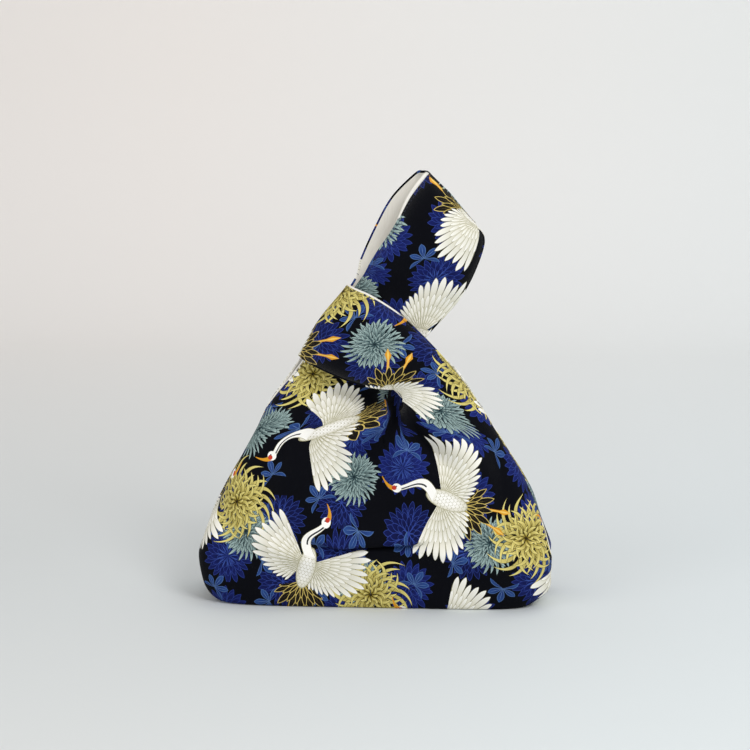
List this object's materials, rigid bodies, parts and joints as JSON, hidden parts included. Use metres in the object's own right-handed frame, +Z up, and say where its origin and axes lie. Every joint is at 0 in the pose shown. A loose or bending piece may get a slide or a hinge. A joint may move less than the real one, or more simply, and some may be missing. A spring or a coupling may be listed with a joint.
{
  "type": "knot bag",
  "caption": "Small lined cotton knot bag with a boxed base, its long strap passed through the loop of its short strap to stand as a wrist loop.",
  "frame": {"origin": "centre of the base on the surface it stands on", "axes": "+Z up, +X along the base towards the side from which the short strap comes, front wall towards -Y"},
  "size_m": [0.2618, 0.0902, 0.3156],
  "materials": {
    "printed_cotton": "plain-weave cotton printed with cranes, chrysanthemums and leaves on navy, matt",
    "plain_cotton": "plain-weave cream cotton lining, matt",
    "sewing_thread": "fine polyester sewing thread, slight sheen"
  },
  "bodies": {
    "root": {"outer_front_panel": "printed_cotton", "outer_back_panel": "printed_cotton", "lining_front_panel": "plain_cotton", "lining_back_panel": "plain_cotton"}
  },
  "joints": []
}
